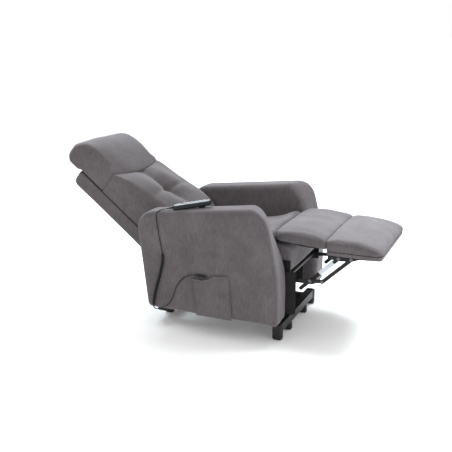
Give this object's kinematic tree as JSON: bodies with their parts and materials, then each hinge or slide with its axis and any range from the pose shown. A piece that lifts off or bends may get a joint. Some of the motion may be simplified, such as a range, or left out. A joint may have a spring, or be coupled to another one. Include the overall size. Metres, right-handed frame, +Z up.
{
  "type": "power lift recliner chair",
  "caption": "Upholstered chair that reclines, raises a leg rest and lifts and tilts its seat on a steel base to help a person stand; wired handset on the arm.",
  "frame": {"origin": "on the floor under the middle of the chair's plan outline, reclined with the leg rest out", "axes": "+Z up; -Y the way the chair faces; X across, with the handset and pocket on the -X arm (the sitter's right)"},
  "size_m": [0.751, 1.6266, 0.857],
  "materials": {
    "black_powder_coat": "satin black powder coat",
    "zinc_plate": "bright zinc plate",
    "taupe_velour": "taupe-grey velour",
    "black_plastic": "moulded, matt",
    "handset_plastic": "moulded, fine texture",
    "pale_keys": "matt silicone keys",
    "black_webbing": "woven elastic webbing"
  },
  "bodies": {
    "base": {"base_front_tube": "black_powder_coat", "base_rear_tube": "black_powder_coat", "base_side_rails": "black_powder_coat", "base_end_feet": "black_plastic", "base_middle_feet": "black_plastic", "lift_brackets": "black_powder_coat", "lift_bracket_pins": "zinc_plate", "actuator_bracket": "black_powder_coat", "power_supply": "black_plastic", "mains_inlet": "black_plastic"},
    "lift_arm": {"lift_arm_links": "black_powder_coat", "lift_torsion_tube": "black_powder_coat"},
    "lift_link": {"lift_front_links": "black_powder_coat"},
    "lift_actuator": {"lift_motor": "black_plastic", "lift_outer_tube": "zinc_plate"},
    "lift_rod": {"lift_rod": "zinc_plate"},
    "backrest": {"back_hinge_plates": "black_powder_coat", "back_frame": "black_powder_coat", "back_shell": "taupe_velour", "lumbar_cushion": "taupe_velour", "head_pillow": "taupe_velour"},
    "leg_carrier": {"leg_carrier_bars": "black_powder_coat", "leg_torque_tube": "black_powder_coat", "leg_carrier_pins": "zinc_plate"},
    "leg_drive": {"leg_drive_bars": "black_powder_coat"},
    "leg_support": {"leg_support_bars": "black_powder_coat"},
    "footrest": {"foot_rails": "black_powder_coat", "foot_rail_pins": "zinc_plate", "foot_board": "taupe_velour", "foot_pad": "taupe_velour"},
    "calf_rest": {"calf_pad": "taupe_velour"},
    "seat_unit": {"seat_side_plates": "black_powder_coat", "seat_cross_tubes": "black_powder_coat", "seat_pins": "zinc_plate", "seat_webbing": "black_webbing", "seat_cushion": "taupe_velour", "seat_front_rail": "taupe_velour", "arm_brackets": "black_powder_coat", "right_arm": "taupe_velour", "left_arm": "taupe_velour", "right_arm_pad": "taupe_velour", "left_arm_pad": "taupe_velour", "side_pocket": "taupe_velour", "handset_shell": "handset_plastic", "handset_strain_relief": "handset_plastic", "handset_lead": "handset_plastic", "handset_curly_lead": "handset_plastic", "handset_lower_lead": "handset_plastic", "handset_connector": "handset_plastic"},
    "button_1_key": {"button_1": "pale_keys"},
    "button_2_key": {"button_2": "pale_keys"},
    "button_3_key": {"button_3": "pale_keys"},
    "button_4_key": {"button_4": "pale_keys"},
    "button_5_key": {"button_5": "pale_keys"},
    "button_6_key": {"button_6": "pale_keys"}
  },
  "joints": [
    {"name": "lift", "type": "hinge", "parent": "base", "child": "lift_arm", "pos_m": [0, -0.17, 0.092], "axis": [1, 0, 0], "range_deg": [0, 58]},
    {"name": "seat_tilt", "type": "hinge", "parent": "lift_arm", "child": "seat_unit", "pos_m": [0, 0.15, 0.12], "axis": [1, 0, 0], "range_deg": [-30.2, 0.1]},
    {"name": "front_link", "type": "hinge", "parent": "base", "child": "lift_link", "pos_m": [0, -0.221, 0.081], "axis": [1, 0, 0], "range_deg": [-0.1, 64.8]},
    {"name": "actuator_swing", "type": "hinge", "parent": "base", "child": "lift_actuator", "pos_m": [0, 0.187, 0.068], "axis": [1, 0, 0], "range_deg": [-0.1, 2.7]},
    {"name": "rod_stroke", "type": "slide", "parent": "lift_actuator", "child": "lift_rod", "axis": [0, -0.9708, 0.2397], "range_m": [-0.0005, 0.061]},
    {"name": "recline", "type": "hinge", "parent": "seat_unit", "child": "backrest", "pos_m": [0, 0.17, 0.4], "axis": [1, 0, 0], "range_deg": [0, 40]},
    {"name": "leg_rest", "type": "hinge", "parent": "seat_unit", "child": "leg_carrier", "pos_m": [0, -0.353, 0.289], "axis": [1, 0, 0], "range_deg": [0, 90]},
    {"name": "leg_support_pivot", "type": "hinge", "parent": "leg_carrier", "child": "leg_support", "pos_m": [0, -0.475, 0.299], "axis": [1, 0, 0], "range_deg": [-125.5, 0.5]},
    {"name": "leg_drive_pivot", "type": "hinge", "parent": "leg_carrier", "child": "leg_drive", "pos_m": [0, -0.535, 0.304], "axis": [1, 0, 0], "range_deg": [-125.5, 0.5]},
    {"name": "footrest_pivot", "type": "hinge", "parent": "leg_support", "child": "footrest", "pos_m": [0, -0.605, 0.422], "axis": [1, 0, 0], "range_deg": [-0.5, 125.5]},
    {"name": "calf_fold", "type": "hinge", "parent": "seat_unit", "child": "calf_rest", "pos_m": [0, -0.31, 0.465], "axis": [1, 0, 0], "range_deg": [-0.5, 29], "deforming": ["calf_pad"]},
    {"name": "button_1_press", "type": "slide", "parent": "seat_unit", "child": "button_1_key", "axis": [0.0446, -0.1789, -0.9829], "range_m": [0, 0.0015], "stiffness_N_per_m": 400, "springref_m": -0.0005},
    {"name": "button_2_press", "type": "slide", "parent": "seat_unit", "child": "button_2_key", "axis": [0.0446, -0.1789, -0.9829], "range_m": [0, 0.0015], "stiffness_N_per_m": 400, "springref_m": -0.0005},
    {"name": "button_3_press", "type": "slide", "parent": "seat_unit", "child": "button_3_key", "axis": [0.0446, -0.1789, -0.9829], "range_m": [0, 0.0015], "stiffness_N_per_m": 400, "springref_m": -0.0005},
    {"name": "button_4_press", "type": "slide", "parent": "seat_unit", "child": "button_4_key", "axis": [0.0446, -0.1789, -0.9829], "range_m": [0, 0.0015], "stiffness_N_per_m": 400, "springref_m": -0.0005},
    {"name": "button_5_press", "type": "slide", "parent": "seat_unit", "child": "button_5_key", "axis": [0.0446, -0.1789, -0.9829], "range_m": [0, 0.0015], "stiffness_N_per_m": 400, "springref_m": -0.0005},
    {"name": "button_6_press", "type": "slide", "parent": "seat_unit", "child": "button_6_key", "axis": [0.0446, -0.1789, -0.9829], "range_m": [0, 0.0015], "stiffness_N_per_m": 400, "springref_m": -0.0005}
  ],
  "couplings": [
    {"joint": "seat_tilt", "follows": "lift", "ratio": -0.51724},
    {"joint": "front_link", "follows": "lift", "ratio": 1.1145},
    {"joint": "actuator_swing", "follows": "lift", "ratio": 0.04293},
    {"joint": "rod_stroke", "follows": "lift", "m_per_rad": 0.05927},
    {"joint": "leg_support_pivot", "follows": "leg_rest", "ratio": -1.3889},
    {"joint": "leg_drive_pivot", "follows": "leg_rest", "ratio": -1.3889},
    {"joint": "footrest_pivot", "follows": "leg_rest", "ratio": 1.3889},
    {"joint": "calf_fold", "follows": "leg_rest", "ratio": 0.31444}
  ]
}
